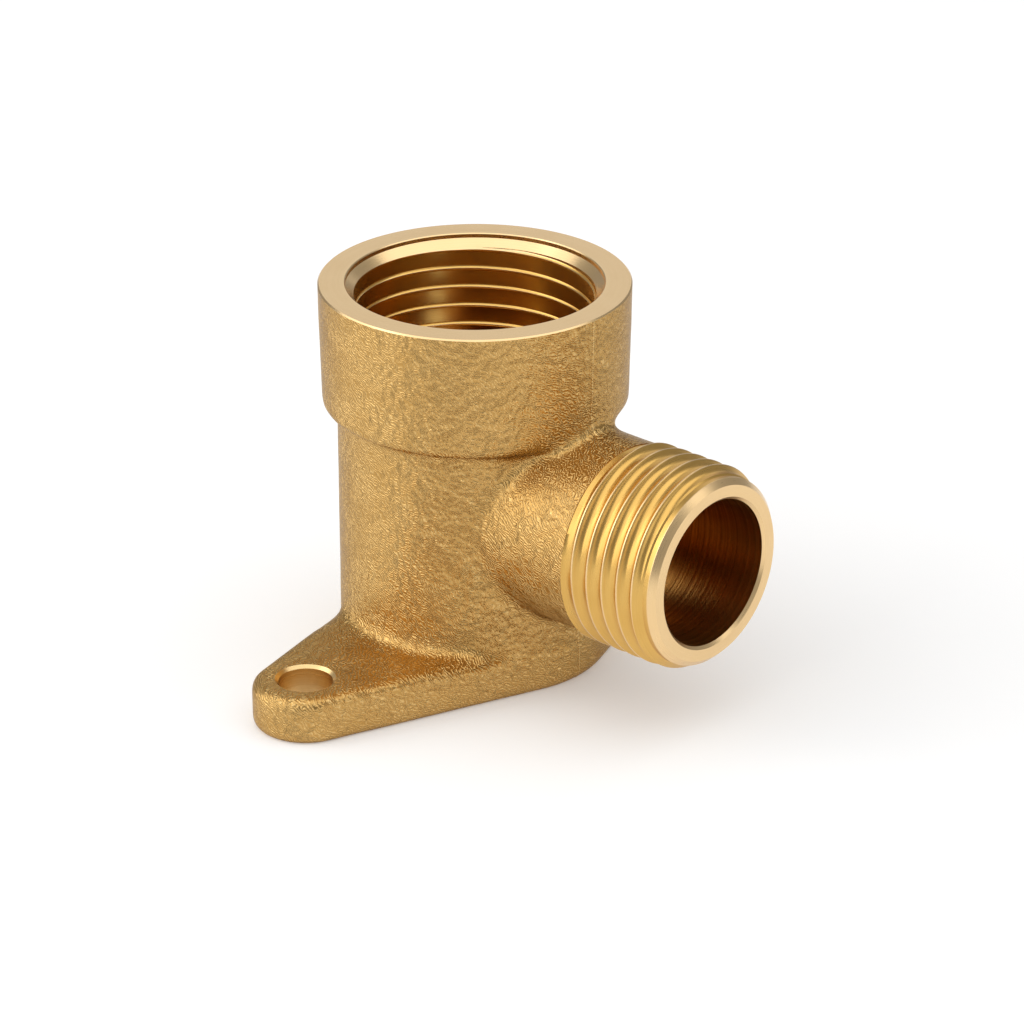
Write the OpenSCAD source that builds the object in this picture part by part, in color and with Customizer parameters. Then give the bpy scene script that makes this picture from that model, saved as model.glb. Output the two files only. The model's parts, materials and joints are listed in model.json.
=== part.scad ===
// Wall plate elbow: one brass forging, machined at the socket, the branch and the screw holes.
// The wall face is z = 0, the socket opens upward and the threaded branch leaves along +X.

/* [Body] */
// Height from the wall face to the rim of the socket
height = 40.2; // [38:0.1:60]
// Diameter of the plain body
body_d = 28.2; // [27:0.1:30]
// Diameter of the collar at the rim of the socket
collar_d = 31.8; // [31:0.1:40]
// Height of the collar, from its underside to the rim
collar_h = 13.1; // [12:0.1:16]
// How much the collar's radius loses from the rim down to its lower edge
collar_draft = 0.25; // [0.1:0.05:0.5]
// Radius of the collar's rounded lower edge
collar_edge_r = 0.8; // [0.4:0.1:1.1]
// Width of the chamfer around the rim
rim_edge = 0.2; // [0.1:0.05:0.5]
// Radius along the bottom edge of the forging
foot_edge_r = 0.6; // [0.3:0.1:1]

/* [Socket] */
// Crest diameter of the internal thread, G 3/4
socket_minor_d = 24.117; // [20:0.001:25]
// Diameter of the mouth at the rim
socket_mouth_d = 26.2; // [25.6:0.1:28]
// Depth of the straight mouth
socket_mouth_h = 0.5; // [0.2:0.1:1]
// Depth of the lead-in chamfer between the mouth and the thread
socket_lead_h = 0.9; // [0.6:0.1:1.6]
// Depth of the threaded wall below the rim
socket_depth = 16; // [14:0.5:18]
// Diameter of the water way below the thread
waterway_d = 20.5; // [16:0.5:22]
// Thickness of the closed end behind the water way
floor_t = 6; // [4:0.5:8]

/* [Branch] */
// Height of the branch axis above the wall face
branch_h = 17.7; // [16:0.1:19]
// Distance from the body axis to the end of the branch
branch_reach = 32; // [29:0.1:40]
// Diameter of the forged neck
neck_d = 20.2; // [19:0.1:20.6]
// Diameter over the crests of the external thread, G 1/2
branch_major_d = 20.955; // [20.7:0.001:21.5]
// Length of the thread over its full crests
branch_thread_l = 9.4; // [7:0.1:10]
// Diameter of the plain end in front of the thread
branch_end_d = 19.4; // [18.8:0.1:20.2]
// Length of that end
branch_end_l = 1.2; // [0.8:0.1:2]
// Width of the chamfer around that end
branch_lead = 0.6; // [0.3:0.05:0.8]
// Diameter of the bore through the branch
branch_bore_d = 15.2; // [12:0.1:16]
// Width of the chamfer at the mouth of that bore
bore_edge = 0.3; // [0.2:0.05:0.8]

/* [Lugs] */
// Distance between the centres of the two screw holes
hole_spacing = 50.6; // [44:0.1:60]
// Radius of a lug's rounded end
lug_end_r = 5.4; // [4.5:0.1:7]
// Thickness of the lugs
lug_t = 4.8; // [3.4:0.1:6]
// Radius of the disc under the body that the lugs' sides run to
lug_root_r = 12.7; // [12:0.1:13.4]
// How far that disc stands towards the branch
lug_root_shift = 1.6; // [0.2:0.1:1.6]
// Radius along the upper edge of the lugs
lug_edge_r = 1.1; // [0.5:0.1:1.6]
// Diameter of a screw hole
hole_d = 5.5; // [4:0.1:6]
// Width of the chamfer at the top of a screw hole
hole_edge = 0.3; // [0.2:0.05:0.8]

/* [Blends] */
// Radius of the blend between the body and the lugs
lug_blend_r = 3.6; // [2:0.2:4]
// Radius of the blend between the neck and the body
neck_blend_r = 2.4; // [1.8:0.1:3]

/* [Hidden] */
$fn = 96;
body_r = body_d / 2;
collar_r = collar_d / 2;
collar_low_r = collar_r - collar_draft;
collar_z = height - collar_h;
socket_minor_r = socket_minor_d / 2;
socket_mouth_r = socket_mouth_d / 2;
waterway_r = waterway_d / 2;
neck_r = neck_d / 2;
branch_major_r = branch_major_d / 2;
branch_end_r = branch_end_d / 2;
branch_crest_x = branch_reach - branch_end_l - (branch_major_r - branch_end_r);
branch_thread_x = branch_crest_x - branch_thread_l;
branch_bore_r = branch_bore_d / 2;
lug_reach = hole_spacing / 2;
hole_r = hole_d / 2;
// a blend bites this share of its radius into both walls, so that it crosses them cleanly
blend_bite_share = 0.02;
// the angles by which a lug's two sides lean from its axis together, and apart
lug_taper = asin((lug_root_r - lug_end_r) / norm([lug_reach, lug_root_shift]));
lug_skew = atan(lug_root_shift / lug_reach);
// a lug's blend starts this share of the edge radius inside the lug's side, and leans inward from there
lug_blend_inset_share = 1.15;
lug_blend_lean = 60;
// the share of a cut's own radius by which it starts outside the solid
cut_over_share = 0.1;
arc_steps = 8;
blend_turn_steps = 90;
lug_fn = 48;

// Points along an arc about c, from angle a0 to angle a1
function arc(c, r, a0, a1) =
    [for (i = [0:arc_steps]) let (a = a0 + (a1 - a0) * i / arc_steps) c + r * [cos(a), sin(a)]];

// Half section of the forging: rounded foot, plain body, and drafted collar with a rounded lower edge
module body_section() {
    polygon(concat(
        [[0, 0]],
        arc([body_r - foot_edge_r, foot_edge_r], foot_edge_r, -90, 0),
        [[body_r, collar_z]],
        arc([collar_low_r - collar_edge_r, collar_z + collar_edge_r], collar_edge_r, -90, 0),
        [[collar_r, height - rim_edge], [collar_r - rim_edge, height], [0, height]]
    ));
}

// Flat disc of the lugs' thickness with rounded edges
module lug_disc(r) {
    rotate_extrude($fn = lug_fn) polygon(concat(
        [[0, 0]],
        arc([r - foot_edge_r, foot_edge_r], foot_edge_r, -90, 0),
        arc([r - lug_edge_r, lug_t - lug_edge_r], lug_edge_r, 0, 90),
        [[0, lug_t]]
    ));
}

// Both lugs as one plate, from one rounded end across the body to the other
module lug_plate() {
    hull() {
        translate([lug_root_shift, 0, 0]) lug_disc(lug_root_r);
        for (y = [-lug_reach, lug_reach]) translate([0, y, 0]) lug_disc(lug_end_r);
    }
}

// What lies under a plane that leans in from one side of the lug along -Y,
// from its side towards the branch (1) or from the other (-1)
module under_leaning_plane(side) {
    slant = lug_taper + side * lug_skew;
    start = lug_root_r + side * lug_root_shift * cos(slant) - lug_edge_r * lug_blend_inset_share;
    mirror([side < 0 ? 1 : 0, 0, 0]) rotate([0, 0, -slant]) rotate([90, 0, 0]) linear_extrude(lug_reach) polygon([
        [start + lug_edge_r / tan(lug_blend_lean), lug_t - lug_edge_r],
        [start - lug_blend_r / tan(lug_blend_lean), lug_t + lug_blend_r],
        [-lug_root_r, lug_t + lug_blend_r],
        [-lug_root_r, lug_t - lug_edge_r]
    ]);
}

// Concave blend from the body's wall down to the top of the lug along -Y, fading out at the lug's sides
module lug_blend() {
    bite = lug_blend_r * blend_bite_share;
    start = [waterway_r, lug_t - lug_edge_r];
    centre = [body_r + lug_blend_r - bite, lug_t + lug_blend_r - bite];
    intersection() {
        rotate_extrude() difference() {
            translate(start) square(centre - start);
            translate(centre) circle(lug_blend_r);
        }
        under_leaning_plane(1);
        under_leaning_plane(-1);
    }
}

// Forged neck and the turned blank of the external thread, with the plain end in front of it
module branch() {
    step = branch_major_r - neck_r;
    translate([0, 0, branch_h]) rotate([0, 90, 0]) rotate_extrude() polygon([
        [0, 0],
        [neck_r, 0],
        [neck_r, branch_thread_x - step],
        [branch_major_r, branch_thread_x],
        [branch_major_r, branch_crest_x],
        [branch_end_r, branch_reach - branch_end_l],
        [branch_end_r, branch_reach - branch_lead],
        [branch_end_r - branch_lead, branch_reach],
        [0, branch_reach]
    ]);
}

// Radius of the forging's wall at a height, through the collar's rounded lower edge
function wall_r(z) =
    let (short = max(1 - (z - collar_z) / collar_edge_r, 0))
    z < collar_z ? body_r : collar_low_r - collar_edge_r * (1 - sqrt(1 - short * short));

// Cross-section of the blend that a ball leaves between the neck and the wall beside it,
// at the angle turn around the neck, as a closed ring of points
function neck_blend_ring(turn) =
    let (
        f = neck_blend_r,
        reach = f * (1 - blend_bite_share),
        y = (neck_r + reach) * sin(turn),
        up = (neck_r + reach) * cos(turn),
        wall = wall_r(branch_h + up),
        ball = [sqrt(pow(wall + reach, 2) - y * y), y, up],
        to_neck = -[0, sin(turn), cos(turn)],
        to_wall = -[ball.x, ball.y, 0] / (wall + reach),
        sweep = acos(to_neck * to_wall),
        sink_y = (neck_r - f) * sin(turn),
        sunk = [sqrt(pow(wall - f, 2) - sink_y * sink_y), sink_y, (neck_r - f) * cos(turn)]
    )
    concat(
        [for (i = [0:arc_steps])
            let (a = sweep * i / arc_steps)
            ball + f * (to_neck * sin(sweep - a) + to_wall * sin(a)) / sin(sweep)],
        [sunk]
    );

// The blend all the way around the neck, as one closed skin
module neck_blend() {
    ring_n = arc_steps + 2;
    points = [for (i = [0:blend_turn_steps - 1]) each neck_blend_ring(360 * i / blend_turn_steps)];
    faces = [for (i = [0:blend_turn_steps - 1], j = [0:ring_n - 1])
        let (
            here = i * ring_n,
            next = (i + 1) % blend_turn_steps * ring_n,
            k = (j + 1) % ring_n
        )
        each [[here + j, next + k, next + j], [here + j, here + k, next + k]]];
    translate([0, 0, branch_h]) polyhedron(points, faces);
}

// Socket with its mouth and lead-in chamfer, the narrower water way below and its flat end
module socket_cut() {
    over = socket_mouth_r * cut_over_share;
    rotate_extrude() polygon([
        [0, floor_t],
        [waterway_r, floor_t],
        [waterway_r, height - socket_depth],
        [socket_minor_r, height - socket_depth],
        [socket_minor_r, height - socket_mouth_h - socket_lead_h],
        [socket_mouth_r, height - socket_mouth_h],
        [socket_mouth_r, height + over],
        [0, height + over]
    ]);
}

// Bore through the branch into the water way
module branch_cut() {
    over = branch_bore_r * cut_over_share;
    translate([0, 0, branch_h]) rotate([0, 90, 0]) rotate_extrude() polygon([
        [0, 0],
        [branch_bore_r, 0],
        [branch_bore_r, branch_reach - bore_edge],
        [branch_bore_r + bore_edge, branch_reach],
        [branch_bore_r + bore_edge, branch_reach + over],
        [0, branch_reach + over]
    ]);
}

// Screw hole through a lug
module hole_cut() {
    over = hole_r * cut_over_share;
    rotate_extrude() polygon([
        [0, -over],
        [hole_r, -over],
        [hole_r, lug_t - hole_edge],
        [hole_r + hole_edge, lug_t],
        [hole_r + hole_edge, lug_t + over],
        [0, lug_t + over]
    ]);
}

// The whole fitting
module elbow_body() {
    color([0.80, 0.62, 0.32]) difference() {
        union() {
            rotate_extrude() body_section();
            branch();
            neck_blend();
            lug_plate();
            for (side = [0, 1]) mirror([0, side, 0]) lug_blend();
        }
        socket_cut();
        branch_cut();
        for (y = [-lug_reach, lug_reach]) translate([0, y, 0]) hole_cut();
    }
}

elbow_body();
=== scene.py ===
# Wall plate elbow: a forged brass body, turned at the socket, the branch and the screw holes
import json
import math

import bmesh
import bpy
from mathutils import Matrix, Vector


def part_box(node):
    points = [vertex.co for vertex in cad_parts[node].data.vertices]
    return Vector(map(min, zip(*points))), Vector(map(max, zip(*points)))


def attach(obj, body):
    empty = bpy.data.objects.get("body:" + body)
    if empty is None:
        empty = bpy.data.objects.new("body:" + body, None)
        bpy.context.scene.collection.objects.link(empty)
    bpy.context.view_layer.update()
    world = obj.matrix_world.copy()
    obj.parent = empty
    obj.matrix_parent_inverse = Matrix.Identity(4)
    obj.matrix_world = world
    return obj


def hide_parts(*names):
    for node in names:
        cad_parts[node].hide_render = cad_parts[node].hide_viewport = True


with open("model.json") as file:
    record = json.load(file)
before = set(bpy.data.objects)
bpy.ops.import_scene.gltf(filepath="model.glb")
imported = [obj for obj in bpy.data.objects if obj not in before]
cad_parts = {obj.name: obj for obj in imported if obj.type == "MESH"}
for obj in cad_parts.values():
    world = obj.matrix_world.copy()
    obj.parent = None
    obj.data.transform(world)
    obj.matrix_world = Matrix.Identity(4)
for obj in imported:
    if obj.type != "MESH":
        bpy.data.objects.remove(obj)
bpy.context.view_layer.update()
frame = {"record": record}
mm = 0.001
lowCorner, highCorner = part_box("elbow_body")
mounts = {m["name"]: m for m in frame["record"]["mounts"]}

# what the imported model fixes, in metres
rimHeight = highCorner[2]
branchReach = highCorner[0]
collarRadius = -lowCorner[0]
crestRadiusIn = mounts["socket_thread"]["dims"]["r_mm"] * mm
crestRadiusOut = mounts["branch_thread"]["dims"]["r_mm"] * mm
branchHeight = mounts["branch_thread"]["pos_m"][2]
lugReach = mounts["screw_holes"]["dims"]["spacing_y_mm"] * mm / 2
holeRadius = mounts["screw_holes"]["dims"]["hole_r_mm"] * mm
lugEndRadius = highCorner[1] - lugReach
beyond = 100 * mm  # reaches past the whole fitting

# the forging before it is machined
forging = {
    "bodyRadius": 14.1 * mm,
    "collarHeight": 13.1 * mm,
    "collarDraft": 0.25 * mm,  # what the collar's radius loses from the rim to its lower edge
    "collarEdge": 0.8 * mm,
    "neckRadius": 10.1 * mm,
    "neckEnd": 20.6 * mm,
    "lugThickness": 4.8 * mm,
    "lugRootRadius": 12.7 * mm,
    "lugRootShift": 1.6 * mm,
    "lugEdge": 1.1 * mm,
    "footEdge": 1.0 * mm,
    "rimEdge": 0.15 * mm,
    "sink": 0.15 * mm,  # cut away again when the foot is faced
    "allowance": 1 * mm,  # stock that is turned off the rim
    "voxel": 0.33 * mm,
    "sides": 192,
    "lugSides": 96,
}
collarBottom = rimHeight - forging["collarHeight"]
collarLowRadius = collarRadius - forging["collarDraft"]


def deselectAll():
    if bpy.context.object and bpy.context.object.mode != "OBJECT":
        bpy.ops.object.mode_set(mode="OBJECT")
    bpy.ops.object.select_all(action="DESELECT")


def activate(piece):
    deselectAll()
    piece.select_set(True)
    bpy.context.view_layer.objects.active = piece


def settle(piece):
    # the place goes into the mesh, so that the object sits at the origin
    activate(piece)
    bpy.ops.object.transform_apply(location=True, rotation=True, scale=True)


def applyModifiers(piece):
    activate(piece)
    for modifier in list(piece.modifiers):
        bpy.ops.object.modifier_apply(modifier=modifier.name)


def carve(piece, tool, operation="DIFFERENCE"):
    modifier = piece.modifiers.new(operation.title(), "BOOLEAN")
    modifier.operation = operation
    modifier.solver = "MANIFOLD"
    modifier.object = tool
    applyModifiers(piece)
    bpy.data.objects.remove(tool)


def turn(name, stations, sides, alongX=False, centre=(0, 0, 0)):
    # a solid of revolution: a filled circle, extruded and resized
    # from station to station, each of them a radius and a height
    deselectAll()
    radius, height = stations[0]
    bpy.ops.mesh.primitive_circle_add(
        vertices=sides, radius=radius, fill_type="NGON", location=(0, 0, height)
    )
    piece = bpy.context.object
    piece.name = name
    settle(piece)
    bpy.ops.object.mode_set(mode="EDIT")
    bpy.ops.mesh.select_all(action="SELECT")
    for nextRadius, nextHeight in stations[1:]:
        bpy.ops.mesh.extrude_region_move(TRANSFORM_OT_translate={"value": (0, 0, nextHeight - height)})
        grow = nextRadius / radius
        bpy.ops.transform.resize(value=(grow, grow, 1), center_override=(0, 0, nextHeight))
        radius, height = nextRadius, nextHeight
    bpy.ops.mesh.select_all(action="SELECT")
    bpy.ops.mesh.normals_make_consistent(inside=False)
    bpy.ops.object.mode_set(mode="OBJECT")
    if alongX:
        piece.rotation_euler = (0, math.pi / 2, 0)
    piece.location = centre
    settle(piece)
    return piece


def arcStations(centre, size, startAngle, endAngle, steps=8):
    # stations along a quarter ellipse, for rounded edges
    angles = [math.radians(startAngle + (endAngle - startAngle) * i / steps) for i in range(steps + 1)]
    return [(centre[0] + size[0] * math.cos(a), centre[1] + size[1] * math.sin(a)) for a in angles]


def makeBodyBlank():
    foot, edge, sink = forging["footEdge"], forging["collarEdge"], forging["sink"]
    body = forging["bodyRadius"]
    stations = [(body * 0.5, -sink)]
    stations += arcStations((body - foot, foot - sink), (foot, foot), -90, 0, 4)
    stations += [(body, collarBottom)]
    stations += arcStations((collarLowRadius - edge, collarBottom + edge), (edge, edge), -90, 0)
    top = rimHeight + forging["allowance"]
    stations += [(collarRadius, rimHeight), (collarRadius, top), (collarRadius * 0.5, top)]
    return turn("bodyBlank", stations, forging["sides"])


def makeNeckBlank():
    radius = forging["neckRadius"]
    stations = [(radius, 1 * mm), (radius, forging["neckEnd"] + 2 * mm)]
    return turn("neckBlank", stations, forging["sides"], alongX=True, centre=(0, 0, branchHeight))


def makeLugBlank():
    # three discs under one hull give the plate with its two rounded ends
    discs = [(forging["lugRootShift"], 0, forging["lugRootRadius"])]
    discs += [(0, side * lugReach, lugEndRadius) for side in (-1, 1)]
    thickness, edge, foot = forging["lugThickness"], forging["lugEdge"], forging["footEdge"]
    sink = forging["sink"]
    deselectAll()
    plates = []
    for x, y, radius in discs:
        stations = [(radius * 0.5, -sink)]
        stations += arcStations((radius - foot, foot - sink), (foot, foot), -90, 0, 4)
        stations += arcStations((radius - edge, thickness - edge), (edge, edge), 0, 90, 6)
        stations += [(radius * 0.5, thickness)]
        plates.append(turn("lugDisc", stations, forging["lugSides"], centre=(x, y, 0)))
    deselectAll()
    for plate in plates:
        plate.select_set(True)
    bpy.context.view_layer.objects.active = plates[0]
    bpy.ops.object.join()
    plate = bpy.context.object
    bpy.ops.object.mode_set(mode="EDIT")
    bpy.ops.mesh.select_all(action="SELECT")
    bpy.ops.mesh.convex_hull()
    bpy.ops.mesh.select_all(action="SELECT")
    bpy.ops.mesh.normals_make_consistent(inside=False)
    bpy.ops.object.mode_set(mode="OBJECT")
    plate.name = "lugBlank"
    return plate


blends = {
    "neckReach": 3.8 * mm,  # how far from the seam the neck's blend is felt
    "lugReach": 4.2 * mm,
    "collarReach": 2.3 * mm,
    "neckPasses": 50,
    "lugPasses": 66,
    "collarPasses": 14,
    "skinPasses": 2,
    "waviness": 0.07 * mm,
    "waveSize": 4.5 * mm,
    "slack": 0.2 * mm,  # how far the skin may lie from the wall that it belongs to
}


def smoothNear(piece, name, weightOf, passes):
    # relaxes the skin where weightOf gives a weight, which turns a sharp inner corner into a blend
    group = piece.vertex_groups.new(name=name)
    for vertex in piece.data.vertices:
        weight = weightOf(vertex.co)
        if weight > 0:
            group.add([vertex.index], weight, "REPLACE")
    modifier = piece.modifiers.new(name, "SMOOTH")
    modifier.vertex_group = name
    modifier.factor = 0.5
    modifier.iterations = passes
    applyModifiers(piece)
    piece.vertex_groups.remove(piece.vertex_groups[name])


def fade(distance, reach):
    # full within a third of the reach, and none beyond it
    return max(0.0, min(1.0, 1.5 * (1 - distance / reach)))


def neckSeamWeight(co):
    # near both the neck's cylinder and the body's wall, the collar's underside or the collar's wall
    if co.x < 2 * mm:
        return 0
    fromNeck = math.hypot(co.y, co.z - branchHeight) - forging["neckRadius"]
    radius = math.hypot(co.x, co.y)
    fromBody = radius - forging["bodyRadius"]
    if co.z > collarBottom + blends["slack"]:
        fromWall = radius - collarLowRadius
    elif blends["slack"] < fromBody and radius < collarLowRadius:
        fromWall = min(fromBody, abs(collarBottom - co.z))
    else:
        fromWall = fromBody
    return fade(math.hypot(fromNeck, fromWall), blends["neckReach"])


def lugSeamWeight(co):
    # near both a lug's top and the body's wall
    if co.z < forging["lugThickness"] - 0.6 * mm or abs(co.y) < 5 * mm:
        return 0
    fromWall = math.hypot(co.x, co.y) - forging["bodyRadius"]
    return fade(math.hypot(fromWall, co.z - forging["lugThickness"]), blends["lugReach"])


def collarSeamWeight(co):
    # the corner under the collar, and with it the collar's lower edge
    fromWall = math.hypot(co.x, co.y) - forging["bodyRadius"]
    return fade(math.hypot(fromWall, co.z - collarBottom), blends["collarReach"])


def forge():
    blank = makeBodyBlank()
    carve(blank, makeNeckBlank(), "UNION")
    carve(blank, makeLugBlank(), "UNION")
    activate(blank)
    remesh = blank.modifiers.new("Skin", "REMESH")
    remesh.mode = "VOXEL"
    remesh.voxel_size = forging["voxel"]
    applyModifiers(blank)
    smoothNear(blank, "neckSeam", neckSeamWeight, blends["neckPasses"])
    smoothNear(blank, "lugSeam", lugSeamWeight, blends["lugPasses"])
    smoothNear(blank, "collarSeam", collarSeamWeight, blends["collarPasses"])
    smoothNear(blank, "skin", lambda co: 1, blends["skinPasses"])
    waves = bpy.data.textures.new("forgingWaves", "CLOUDS")
    waves.noise_scale = blends["waveSize"]
    waves.noise_depth = 1
    displace = blank.modifiers.new("Waves", "DISPLACE")
    displace.texture = waves
    displace.strength = blends["waviness"]
    displace.mid_level = 0.5
    applyModifiers(blank)
    print("forged:", len(blank.data.polygons), "faces")
    return blank


def makeBlock(middle, size):
    deselectAll()
    bpy.ops.mesh.primitive_cube_add(size=1, location=middle)
    block = bpy.context.object
    block.scale = size
    settle(block)
    return block


def cutOff(piece, low, high):
    # takes away what lies in a box between two corners
    middle = [(a + b) / 2 for a, b in zip(low, high)]
    carve(piece, makeBlock(middle, [b - a for a, b in zip(low, high)]))


flash = {
    "width": 0.14 * mm,
    "height": 0.02 * mm,
}


def addPartingLine(blank):
    # the trimmed flash of the two dies stands a hair proud in the plane through both axes
    activate(blank)
    bpy.ops.object.duplicate()
    ridge = bpy.context.object
    swell = ridge.modifiers.new("Swell", "DISPLACE")
    swell.strength = flash["height"]
    swell.mid_level = 0
    applyModifiers(ridge)
    carve(ridge, makeBlock((0, 0, rimHeight / 2), (beyond, flash["width"], beyond)), "INTERSECT")
    carve(blank, ridge, "UNION")


thread = {
    "flankAngle": 27.5,
    "crestDrop": 0.025 * mm,  # how far a crest's corners lie under its middle
    "steps": 120,
}


def threadProfile(crestRadius, inward, sizes):
    # one pitch, from the middle of a crest to the middle of the next, as (radius, height)
    pitch, depth = sizes["pitch"], sizes["threadDepth"]
    flat, rounding = sizes["crestFlat"], sizes["rootRounding"]
    flank = math.radians(thread["flankAngle"])
    flankDepth = depth - rounding * (1 - math.sin(flank))
    centre = flat / 2 + flankDepth * math.tan(flank) + rounding * math.cos(flank)
    half = [(0, 0), (0, flat * 0.32), (thread["crestDrop"], flat * 0.5)]
    for i in range(6):
        angle = flank + (math.pi / 2 - flank) * i / 5
        half.append((depth - rounding + rounding * math.sin(angle), centre - rounding * math.cos(angle)))
    half.append((depth, pitch / 2))
    whole = half + [(drop, pitch - height) for drop, height in reversed(half[:-1])]
    side = -1 if inward else 1
    return [(crestRadius + side * drop, height) for drop, height in whole]


def makeThreadRod(name, crestRadius, inward, sizes, start, turns):
    # the profile runs up a screw, and a fan closes each end well outside the part that is used
    profile, pitch = threadProfile(crestRadius, inward, sizes), sizes["pitch"]
    mesh = bpy.data.meshes.new(name)
    mesh.from_pydata([(r, 0, h) for r, h in profile], [(i, i + 1) for i in range(len(profile) - 1)], [])
    rod = bpy.data.objects.new(name, mesh)
    bpy.context.scene.collection.objects.link(rod)
    screw = rod.modifiers.new("Screw", "SCREW")
    screw.axis = "Z"
    screw.angle = 2 * math.pi
    screw.screw_offset = pitch
    screw.iterations = turns
    screw.steps = screw.render_steps = thread["steps"]
    screw.use_smooth_shade = True
    applyModifiers(rod)
    activate(rod)
    bpy.ops.object.mode_set(mode="EDIT")
    bpy.ops.mesh.select_all(action="SELECT")
    bpy.ops.mesh.remove_doubles(threshold=0.002 * mm)
    middle = turns * pitch / 2
    for below in (True, False):
        bpy.ops.mesh.select_all(action="DESELECT")
        skin = bmesh.from_edit_mesh(rod.data)
        for edge in skin.edges:
            height = (edge.verts[0].co.z + edge.verts[1].co.z) / 2
            if edge.is_boundary and (height < middle) == below:
                edge.select_set(True)
        bmesh.update_edit_mesh(rod.data)
        bpy.ops.mesh.extrude_edges_move(
            TRANSFORM_OT_translate={"value": (0, 0, (-1 if below else 1) * 2 * pitch)}
        )
        bpy.ops.mesh.merge(type="CENTER")
    bpy.ops.mesh.select_all(action="SELECT")
    bpy.ops.mesh.normals_make_consistent(inside=False)
    bpy.ops.object.mode_set(mode="OBJECT")
    rod.rotation_euler = (0, 0, sizes["crestAngle"])
    rod.location = (0, 0, start)
    settle(rod)
    return rod


branch = {
    "endRadius": 9.7 * mm,
    "endLength": 1.2 * mm,
    "endChamfer": 0.6 * mm,
    "threadStart": forging["neckEnd"],
    "boreRadius": 7.6 * mm,
    "boreEdge": 0.3 * mm,
    "pitch": 1.93 * mm,
    "threadDepth": 0.62 * mm,
    "crestFlat": 0.2 * mm,
    "rootRounding": 0.7 * mm,
    "crestAt": 26.0 * mm,  # one crest's place along the axis, and the angle at which it lies there
    "crestAngle": 4.27,
}


def makeSpigot():
    # the branch's turned end: a blank, cut by the thread's rod, with its foot inside the forged neck
    start, pitch = branch["threadStart"], branch["pitch"]
    crest = crestRadiusOut
    neck = forging["neckRadius"]
    root = crest - branch["threadDepth"]
    end, chamfer = branch["endRadius"], branch["endChamfer"]
    endStart = branchReach - branch["endLength"]
    envelope = turn(
        "spigot",
        [
            (neck * 0.6, start - 3 * mm),
            (neck - 0.08 * mm, start - 3 * mm),
            (neck - 0.08 * mm, start - 0.02 * mm),
            (crest, start + 0.1 * mm),
            (crest, endStart - (crest - end)),
            (end, endStart),
            (end, branchReach - chamfer),
            (end - chamfer, branchReach),
            (crest * 0.5, branchReach),
        ],
        forging["sides"],
    )
    rod = makeThreadRod("branchThread", crest, True, branch, branch["crestAt"] - 5 * pitch, 10)
    carve(envelope, rod, "INTERSECT")
    # a turned shoulder fills the thread's run-out against the neck
    shoulder = turn(
        "shoulder",
        [
            (root * 0.6, start - 2.9 * mm),
            (neck - 0.06 * mm, start - 2.9 * mm),
            (neck - 0.06 * mm, start),
            (root - 0.1 * mm, start + 0.75 * mm),
            (root * 0.6, start + 0.75 * mm),
        ],
        forging["sides"],
    )
    carve(envelope, shoulder, "UNION")
    envelope.rotation_euler = (0, math.pi / 2, 0)
    envelope.location = (0, 0, branchHeight)
    settle(envelope)
    return envelope


socket = {
    "mouthRadius": 13.1 * mm,
    "mouthStep": 0.5 * mm,
    "mouthDepth": 1.4 * mm,
    "depth": 16 * mm,
    "waterwayRadius": 10.25 * mm,
    "floor": 6 * mm,
    "pitch": 2.075 * mm,
    "threadDepth": 0.2 * mm,
    "crestFlat": 0.09 * mm,
    "rootRounding": 0.25 * mm,
    "crestAt": 36.7 * mm,
    "crestAngle": 2.3,
}


def makeSocketTool():
    # what the lathe takes out of the socket: mouth, thread and water way
    bottom = rimHeight - socket["depth"]
    crest = crestRadiusIn
    root = crest + socket["threadDepth"]
    mouth, nick = socket["mouthRadius"], 0.1 * mm
    over = 1 * mm
    plain = turn(
        "socketTool",
        [
            (socket["waterwayRadius"] * 0.5, socket["floor"]),
            (socket["waterwayRadius"], socket["floor"]),
            (socket["waterwayRadius"], bottom),
            (crest, bottom + 0.01 * mm),
            (crest, rimHeight - socket["mouthDepth"]),
            (mouth, rimHeight - socket["mouthStep"]),
            (mouth, rimHeight - nick),
            (mouth + nick + over, rimHeight + over),
            (crest * 0.5, rimHeight + over),
        ],
        forging["sides"],
    )
    tap = turn(
        "tapEnvelope",
        [
            (crest * 0.5, bottom + 0.6 * mm),
            (crest + 0.05 * mm, bottom + 0.6 * mm),
            (root + 0.05 * mm, bottom + 2.4 * mm),
            (root + 0.05 * mm, rimHeight + 0.5 * mm),
            (crest * 0.5, rimHeight + 0.5 * mm),
        ],
        forging["sides"],
    )
    start = socket["crestAt"] - 8 * socket["pitch"]
    rod = makeThreadRod("socketThread", crest, False, socket, start, 11)
    carve(tap, rod, "INTERSECT")
    carve(plain, tap, "UNION")
    return plain


def makeBranchTool():
    bore, edge = branch["boreRadius"], branch["boreEdge"]
    return turn(
        "branchTool",
        [
            (bore * 0.5, 0),
            (bore, 0),
            (bore, branchReach - edge),
            (bore + edge + 0.5 * mm, branchReach + 0.5 * mm),
            (bore * 0.5, branchReach + 0.5 * mm),
        ],
        forging["sides"],
        alongX=True,
        centre=(0, 0, branchHeight),
    )


hole = {
    "edge": 0.32 * mm,
    "sides": 96,
}


def makeHoleTool(side):
    edge = hole["edge"]
    top = forging["lugThickness"]
    return turn(
        "holeTool",
        [
            (holeRadius * 0.5, -1 * mm),
            (holeRadius, -1 * mm),
            (holeRadius, top - edge),
            (holeRadius + edge + 0.5 * mm, top + 0.5 * mm),
            (holeRadius * 0.5, top + 0.5 * mm),
        ],
        hole["sides"],
        centre=(0, side * lugReach, 0),
    )


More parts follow.
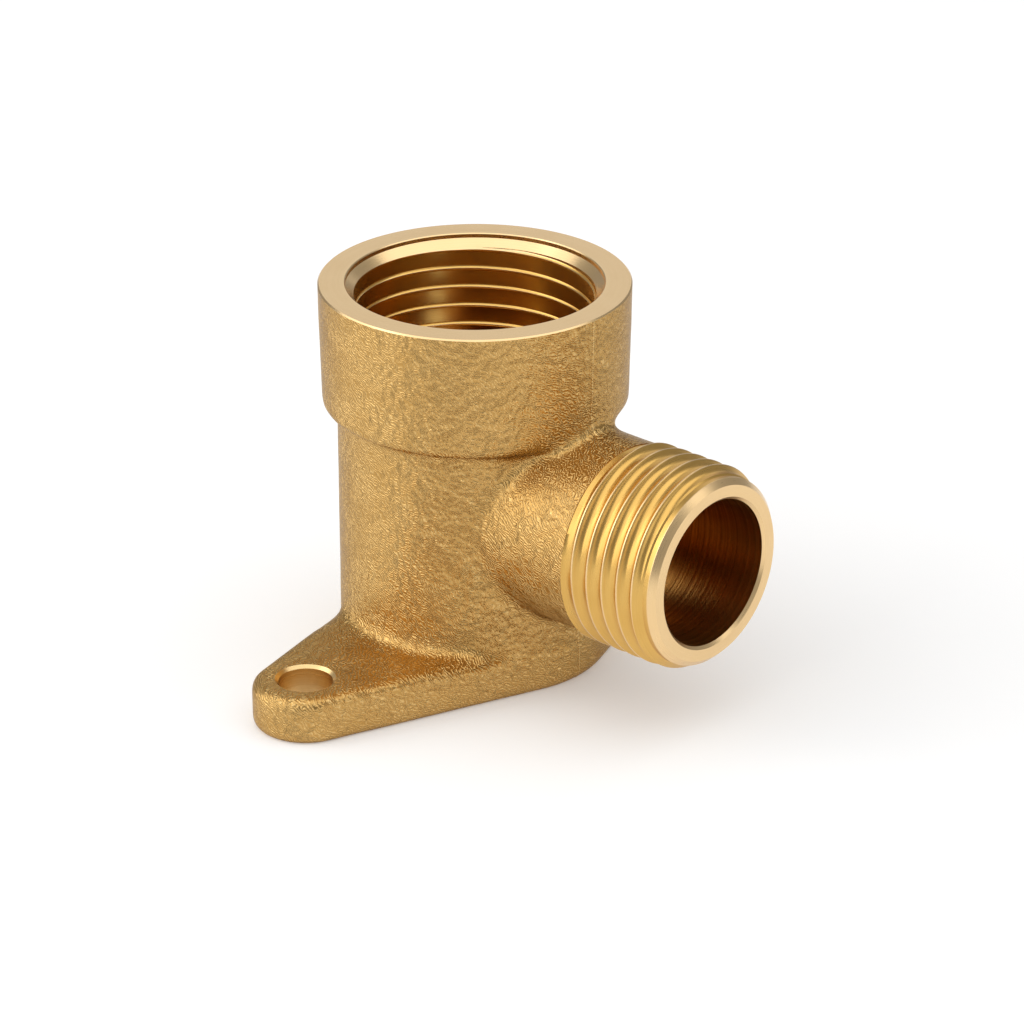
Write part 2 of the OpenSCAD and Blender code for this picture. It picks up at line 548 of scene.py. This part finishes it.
def faceRim(blank):
    # the rim is faced flat, with a small chamfer around it
    edge, reach = forging["rimEdge"], 2 * mm
    envelope = turn(
        "rimEnvelope",
        [
            (beyond, -1 * mm),
            (beyond, rimHeight - 5 * mm),
            (collarRadius + reach, rimHeight - 5 * mm),
            (collarRadius + reach, rimHeight - edge - reach),
            (collarRadius - edge, rimHeight),
        ],
        forging["sides"],
    )
    carve(blank, envelope, "INTERSECT")


def machine(blank):
    faceRim(blank)
    inset = 2 * mm
    cutOff(blank, (forging["neckEnd"], -beyond, inset), (beyond, beyond, rimHeight - inset))
    cutOff(blank, (-beyond, -beyond, -beyond), (beyond, beyond, 0))
    carve(blank, makeSpigot(), "UNION")
    carve(blank, makeSocketTool())
    carve(blank, makeBranchTool())
    for side in (-1, 1):
        carve(blank, makeHoleTool(side))
    print("machined:", sum(len(face.vertices) - 2 for face in blank.data.polygons), "triangles")
    return blank


class Wire:
    # a shader socket that adds Math nodes when it is used in an expression
    def __init__(self, graph, socket):
        self.graph = graph
        self.socket = socket

    def math(self, operation, *values):
        return self.graph.add("ShaderNodeMath", {"operation": operation}, dict(enumerate(values)))

    def __add__(self, other):
        return self.math("ADD", self, other)

    def __sub__(self, other):
        return self.math("SUBTRACT", self, other)

    def __rsub__(self, other):
        return self.math("SUBTRACT", other, self)

    def __mul__(self, other):
        return self.math("MULTIPLY", self, other)

    def __truediv__(self, other):
        return self.math("DIVIDE", self, other)

    __radd__ = __add__
    __rmul__ = __mul__

    def atLeast(self, limit):
        return self.math("MAXIMUM", self, limit)

    def atMost(self, limit):
        return self.math("MINIMUM", self, limit)

    def absolute(self):
        return self.math("ABSOLUTE", self)

    def sine(self):
        return self.math("SINE", self)

    def squareRoot(self):
        return self.math("SQRT", self)


class Graph:
    # the node tree of one material, with a method that adds any node
    def __init__(self, name):
        self.material = bpy.data.materials.new(name)
        self.material.use_nodes = True
        self.tree = self.material.node_tree
        self.tree.nodes.clear()
        self.output = self.tree.nodes.new("ShaderNodeOutputMaterial")

    def node(self, nodeType, settings=None, inputs=None):
        node = self.tree.nodes.new(nodeType)
        for key, value in (settings or {}).items():
            setattr(node, key, value)
        for key, value in (inputs or {}).items():
            if isinstance(value, Wire):
                self.tree.links.new(value.socket, node.inputs[key])
            else:
                node.inputs[key].default_value = value
        return node

    def add(self, nodeType, settings=None, inputs=None, output=0):
        return Wire(self, self.node(nodeType, settings, inputs).outputs[output])

    def mix(self, factor, first, second):
        ends = [end if isinstance(end, Wire) else (*end, 1) for end in (first, second)]
        inputs = {"Factor": factor, "A": ends[0], "B": ends[1]}
        return self.add("ShaderNodeMix", {"data_type": "RGBA"}, inputs, "Result")

    def noise(self, place, size, detail, roughness=0.5, dimensions="3D"):
        settings = {"noise_dimensions": dimensions}
        inputs = {"Vector": place, "Scale": 1 / size, "Detail": detail, "Roughness": roughness}
        return self.add("ShaderNodeTexNoise", settings, inputs)

    def metal(self, colour, rough, height, depth=1.0, edgeTint=(1, 1, 1)):
        bump = self.add("ShaderNodeBump", None, {"Height": height, "Distance": depth, "Strength": 1.0})
        inputs = {"Base Color": colour, "Metallic": 1.0, "Roughness": rough, "Normal": bump}
        inputs["Specular Tint"] = (*edgeTint, 1)
        return self.add("ShaderNodeBsdfPrincipled", None, inputs, "BSDF")

    def finish(self, shader):
        self.tree.links.new(shader.socket, self.output.inputs["Surface"])
        return self.material


def objectPlace(graph):
    # the place in the object's own coordinates, whole and split into x, y and z
    place = graph.add("ShaderNodeTexCoord", None, None, "Object")
    split = graph.node("ShaderNodeSeparateXYZ", None, {0: place})
    return place, [Wire(graph, output) for output in split.outputs]


skin = {
    "colour": (0.70, 0.43, 0.145),
    "paleColour": (0.97, 0.68, 0.29),
    "deepColour": (0.36, 0.185, 0.04),
    "edgeTint": (0.6, 0.6, 0.62),  # darkens what the skin mirrors at its silhouettes
    "strokeSpacing": 0.25 * mm,
    "strokeWander": 3.6,  # how many strokes the field pushes a stroke aside
    "strokeField": 0.8 * mm,
    "strokeHeight": 0.052 * mm,
    "grainSize": 0.22 * mm,
    "grainDepth": 0.005 * mm,
    "driftSize": 3.2 * mm,
    "driftWander": 5,
    # how wide the painted highlight along the parting line is
    "partingHighlightWidth": 0.14 * mm,
    "roughness": 0.22,
}


def makeForgedSkin():
    # shot-blasted skin: short thin ridges that wander like hairs, with a painted highlight on their tops
    # and painted shade in the hollows between them, and a painted highlight along the parting line
    graph = Graph("forgedSkin")
    place, (x, y, z) = objectPlace(graph)
    drift = graph.noise(place, skin["driftSize"], 1.0)
    field = graph.noise(place, skin["strokeField"], 1.0)
    grain = graph.noise(place, skin["grainSize"], 2.0, 0.6)
    along = (z * 0.8 + x * 0.5 + y * 0.35) / skin["strokeSpacing"]
    phase = along + field * skin["strokeWander"] + drift * skin["driftWander"] + grain * 0.3
    stroke = 1 - (phase * math.pi).sine().absolute()
    strength = (grain * 2.6 - 0.45).atLeast(0.3) * (0.5 + drift)
    height = stroke * strength * skin["strokeHeight"] + grain * skin["grainDepth"]
    # painted highlight: the skin is painted pale along the parting line
    partingHighlight = (1 - y.absolute() / skin["partingHighlightWidth"]).atLeast(0.0)
    # painted highlight and shade: pale on the strokes' tops, deep in the hollows between them, with a
    # random tone from the drift
    paintedStrokeLight = graph.mix(stroke * strength * 0.7 + drift * 0.2, skin["deepColour"], skin["paleColour"])
    even = graph.mix(0.3, paintedStrokeLight, skin["colour"])
    colour = graph.mix(partingHighlight * 0.6, even, skin["paleColour"])
    rough = skin["roughness"] + drift * 0.12 + grain * 0.06
    return graph.finish(graph.metal(colour, rough, height, edgeTint=skin["edgeTint"]))


turning = {
    "colour": (0.87, 0.625, 0.335),
    "darkColour": (0.78, 0.525, 0.24),
    # painted shade towards the roots of the threads
    "rootShadeColour": (0.76, 0.48, 0.145),
    "rootShadeDark": (0.54, 0.29, 0.055),
    "holeColour": (0.92, 0.70, 0.36),
    "holeDark": (0.70, 0.46, 0.19),
    # painted shade: the bores' two tones are darkened to stand for the shade inside the bore and the
    # water way; rings and patches mix between them
    "boreShadedColour": (0.86, 0.48, 0.14),
    "boreShadedDark": (0.42, 0.18, 0.035),
    "ringSize": 0.09 * mm,
    "ringDepth": 0.0022 * mm,
    "patchSize": 3.5 * mm,
    # how far under a crest the painted shade in the roots is full
    "rootShadeRamp": 0.06 * mm,
    "endRamp": 0.15 * mm,
}


def makeTurned(
    name, centre, alongX, tones=("colour", "darkColour"), roughness=0.2, coarse=1.0, shadedRoots=None
):
    # bright turned metal whose tool marks are rings around the given axis
    graph = Graph(name)
    place, (x, y, z) = objectPlace(graph)
    across = [y - centre[1], z - centre[2]] if alongX else [x - centre[0], y - centre[1]]
    along = x if alongX else z
    radius = (across[0] * across[0] + across[1] * across[1]).squareRoot()
    ringPlace = graph.add("ShaderNodeCombineXYZ", None, {0: radius, 1: along, 2: 0.0})
    rings = graph.noise(ringPlace, turning["ringSize"] * coarse, 2.0, 0.6, "2D")
    patch = graph.noise(place, turning["patchSize"], 2.0)
    tone = rings * 0.3 * coarse + patch * 0.35
    colour = graph.mix(tone, *[turning[key] for key in tones])
    if shadedRoots:
        # painted shade: a darker, deeper tone towards the roots of the thread, but not past its end
        crest, side, threadEnd = shadedRoots
        below = ((radius - crest) * (side / turning["rootShadeRamp"])).atMost(1.0).atLeast(0.0)
        inThread = ((threadEnd - along) / turning["endRamp"]).atMost(1.0).atLeast(0.0)
        deep = graph.mix(tone, turning["rootShadeColour"], turning["rootShadeDark"])
        colour = graph.mix(below * inThread, colour, deep)
    rough = roughness - 0.04 + rings * 0.1 + patch * 0.05
    return graph.finish(graph.metal(colour, rough, rings, turning["ringDepth"] * coarse * coarse))


def finishOf(centre, normal):
    # which finish a face has, by where it lies:
    # 0 forged, 1 socket, 2 branch, 3 and 4 the screw holes, 5 the bores
    slack = 0.02 * mm
    fromAxis = math.hypot(centre.x, centre.y)
    fromBranch = math.hypot(centre.y, centre.z - branchHeight)
    for index, side in ((3, -1), (4, 1)):
        fromHole = math.hypot(centre.x, centre.y - side * lugReach)
        if fromHole < holeRadius + hole["edge"] + 0.15 * mm and abs(normal.z) < 0.9:
            return index
    inBranch = centre.x > 5 * mm and fromAxis > socket["waterwayRadius"] - 0.3 * mm
    if fromBranch < branch["boreRadius"] + slack and inBranch:
        return 5
    if centre.x > branch["threadStart"] - slack:
        return 2
    if centre.z > rimHeight - 0.4 * mm and normal.z > 0.3:
        return 1
    if fromAxis < socket["mouthRadius"] + 0.12 * mm and centre.z > rimHeight - socket["depth"]:
        return 1
    if fromAxis < socket["waterwayRadius"] + slack and centre.z > socket["floor"] - slack:
        return 5
    return 0


def dress(piece):
    mouthEnd = rimHeight - socket["mouthDepth"]
    threadEnd = branchReach - branch["endChamfer"]
    branchCentre = (0, 0, branchHeight)
    # the painted shade in the roots of both threads: crest radius, side and where the thread ends
    socketShadedRoots, branchShadedRoots = (crestRadiusIn, 1, mouthEnd), (crestRadiusOut, -1, threadEnd)
    holeTones, shadedBoreTones = ("holeColour", "holeDark"), ("boreShadedColour", "boreShadedDark")
    materials = [
        makeForgedSkin(),
        makeTurned("turnedSocket", (0, 0, 0), False, shadedRoots=socketShadedRoots),
        makeTurned("turnedBranch", branchCentre, True, roughness=0.26, shadedRoots=branchShadedRoots),
        makeTurned("drilledHoleNear", (0, -lugReach, 0), False, holeTones, 0.25, 2.8),
        makeTurned("drilledHoleFar", (0, lugReach, 0), False, holeTones, 0.25, 2.8),
        makeTurned("shadedBoredWaterWay", branchCentre, True, shadedBoreTones, 0.3, 4.0),
    ]
    piece.data.materials.clear()
    for material in materials:
        piece.data.materials.append(material)
    for face in piece.data.polygons:
        face.material_index = finishOf(face.center, face.normal)


studio = {
    "ambient": 0.33,
    "paperColour": (0.8, 0.8, 0.8),
    "paperGlow": 0.21,  # what lifts the paper to white where it is seen or mirrored
    # name, place and size in metres, power in watts
    "lamps": [
        ("backSoftbox", (-0.38, 0.52, 0.42), (0.7, 0.45), 0.5),
        ("topSoftbox", (0.08, -0.04, 0.68), (1.5, 0.8), 4.4),
        ("leftSoftbox", (-0.48, -0.31, 0.52), (0.5, 0.4), 0.8),
        ("frontSoftbox", (-0.34, -0.64, 0.29), (1.1, 0.5), 2.9),
        ("rightSoftbox", (0.68, 0.12, 0.17), (0.6, 0.3), 0.6),
    ],
    "aim": (0.0, 0.0, 0.015),
}


def makeStage():
    deselectAll()
    bpy.ops.mesh.primitive_plane_add(size=6, location=(0, 0, 0))
    floor = bpy.context.object
    floor.name = "floor"
    graph = Graph("whitePaper")
    rays = graph.node("ShaderNodeLightPath")
    rayNames = ("Is Camera Ray", "Is Glossy Ray", "Is Transmission Ray")
    seen = [Wire(graph, rays.outputs[name]) for name in rayNames]
    glow = (seen[0] + seen[1] + seen[2]) * studio["paperGlow"]
    shader = graph.add(
        "ShaderNodeBsdfPrincipled",
        None,
        {
            "Base Color": (*studio["paperColour"], 1),
            "Roughness": 0.9,
            "Specular IOR Level": 0.0,
            "Emission Color": graph.add("ShaderNodeCombineColor", None, {0: glow, 1: glow, 2: glow}),
            "Emission Strength": 1.0,
        },
        "BSDF",
    )
    floor.data.materials.append(graph.finish(shader))

    world = bpy.data.worlds.new("studio")
    world.use_nodes = True
    background = world.node_tree.nodes["Background"]
    background.inputs["Color"].default_value = (1, 1, 1, 1)
    background.inputs["Strength"].default_value = studio["ambient"]
    bpy.context.scene.world = world


def makeLamps():
    for name, place, size, power in studio["lamps"]:
        deselectAll()
        bpy.ops.object.light_add(type="AREA", location=place)
        lamp = bpy.context.object
        lamp.name = name
        lamp.data.shape = "RECTANGLE"
        lamp.data.size, lamp.data.size_y = size
        lamp.data.energy = power
        lamp.rotation_euler = (Vector(studio["aim"]) - Vector(place)).to_track_quat("-Z", "Y").to_euler()


camera = {
    "azimuth": 42.08,
    "elevation": 24.9,
    "distance": 0.4333,
    "lens": 147.45,
    "aimRight": 3.73 * mm,
    "aimHeight": 14.43 * mm,
}


def makeCamera():
    azimuth, elevation = math.radians(camera["azimuth"]), math.radians(camera["elevation"])
    level, climb = math.cos(elevation), math.sin(elevation)
    right = Vector((math.cos(azimuth), math.sin(azimuth), 0))
    toward = Vector((math.sin(azimuth) * level, -math.cos(azimuth) * level, climb))
    aim = right * camera["aimRight"] + Vector((0, 0, camera["aimHeight"]))
    deselectAll()
    bpy.ops.object.camera_add(location=aim + toward * camera["distance"])
    eye = bpy.context.object
    eye.rotation_euler = (-toward).to_track_quat("-Z", "Y").to_euler()
    eye.data.lens = camera["lens"]
    eye.data.sensor_width = 36
    eye.data.clip_start = 0.01
    bpy.context.scene.camera = eye


elbow = forge()
addPartingLine(elbow)
machine(elbow)
elbow.name = "elbowForging"
dress(elbow)
activate(elbow)
bpy.ops.object.shade_smooth_by_angle(angle=math.radians(30))
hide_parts("elbow_body")
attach(elbow, "root")
print("dressed")
makeStage()
makeLamps()
makeCamera()
bpy.context.scene.view_settings.view_transform = "Standard"
